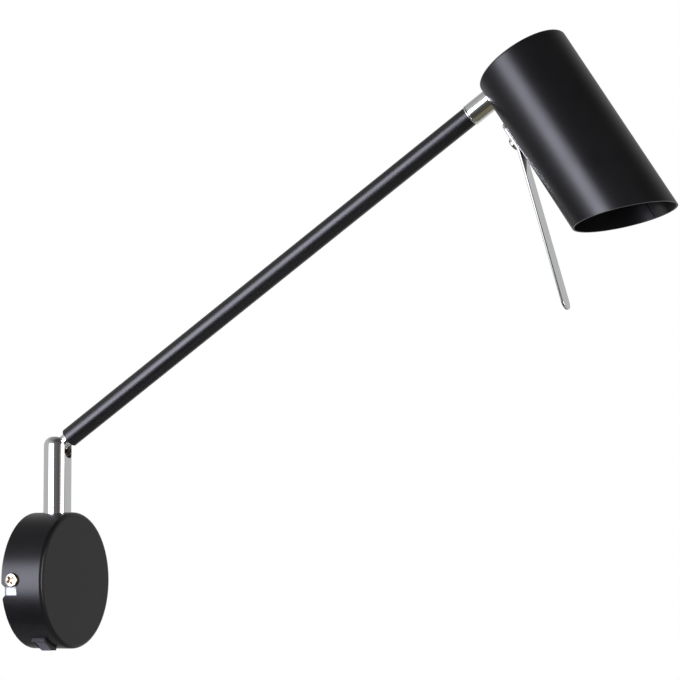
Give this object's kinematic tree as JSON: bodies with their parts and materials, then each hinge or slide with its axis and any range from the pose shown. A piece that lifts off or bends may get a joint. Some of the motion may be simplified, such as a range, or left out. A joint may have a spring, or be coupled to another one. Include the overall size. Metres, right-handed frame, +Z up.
{
  "type": "wall lamp",
  "caption": "Swivelling wall lamp: round canopy with a rim switch, plated post, tilting arm and a tubular shade with an oblique mouth, turned by a flat handle.",
  "frame": {"origin": "centre of the canopy on the wall plane, midway between the two fixing slots", "axes": "+X out of the wall, +Z up, +Y to the right of someone facing the wall"},
  "size_m": [0.4175, 0.0878, 0.3545],
  "materials": {
    "black_powder_coat": "satin black powder coat on steel",
    "chrome_plate": "bright chrome plate",
    "nickel_screw": "bright nickel plate",
    "zinc_steel": "bright zinc plate",
    "turned_steel": "plain turned steel",
    "spring_steel": "oiled spring steel",
    "yellow_brass": "plain brass",
    "black_moulding": "moulded black plastic",
    "black_phenolic": "moulded black phenolic",
    "natural_nylon": "natural nylon",
    "steatite": "fired steatite",
    "clear_grey_sheath": "soft sheath of the flex",
    "blue_core": "blue insulation",
    "brown_core": "brown insulation"
  },
  "bodies": {
    "canopy": {"canopy_cup": "black_powder_coat", "wall_plate": "zinc_steel", "canopy_screws": "nickel_screw", "earth_screw": "yellow_brass", "terminal_block": "natural_nylon", "terminal_clamps": "yellow_brass", "terminal_screws": "zinc_steel", "switch_housing": "black_moulding", "switch_terminals": "yellow_brass", "swivel_bracket": "zinc_steel", "thrust_washer": "natural_nylon", "neutral_lead": "blue_core", "switched_lead": "brown_core", "live_lead": "brown_core"},
    "post": {"post_sleeve": "chrome_plate", "post_spigot": "turned_steel", "post_washer": "spring_steel", "post_nut": "zinc_steel", "ball_follower": "turned_steel", "disc_springs": "spring_steel", "lead_in_post": "clear_grey_sheath"},
    "arm": {"ball_knuckle": "chrome_plate", "arm_tube": "black_powder_coat", "arm_end_plug": "turned_steel", "swivel_ring": "chrome_plate", "swivel_nipple": "turned_steel", "nipple_washer": "spring_steel", "nipple_nut": "zinc_steel", "lead_in_arm": "clear_grey_sheath"},
    "shade": {"swivel_sleeve": "chrome_plate", "shade_cup": "black_powder_coat", "handle_strip": "chrome_plate", "handle_screw": "nickel_screw", "handle_nut": "zinc_steel", "lampholder_bracket": "zinc_steel", "lampholder_cap": "black_phenolic", "lampholder_nut": "zinc_steel", "lampholder_carrier": "steatite", "lampholder_shell": "yellow_brass", "lampholder_contact": "yellow_brass", "lampholder_skirt": "black_phenolic", "lead_in_shade": "clear_grey_sheath"},
    "rocker": {"switch_rocker": "black_moulding"}
  },
  "joints": [
    {"name": "post_swivel", "type": "hinge", "parent": "canopy", "child": "post", "pos_m": [0.014, 0, 0.0385], "axis": [0, 0, 1], "range_deg": [-78.25, 81.75]},
    {"name": "arm_tilt", "type": "hinge", "parent": "post", "child": "arm", "pos_m": [0.014, 0, 0.08165], "axis": [-0.0305, -0.9995, 0], "range_deg": [-38, 51]},
    {"name": "shade_turn", "type": "hinge", "parent": "arm", "child": "shade", "pos_m": [0.32899, -0.00962, 0.29103], "axis": [0.8325, -0.0254, 0.5534], "range_deg": [-165, 165]},
    {"name": "switch_rock", "type": "hinge", "parent": "canopy", "child": "rocker", "pos_m": [0.0148, -0.01531, -0.03696], "axis": [1, 0, 0], "range_deg": [0, 18]}
  ]
}
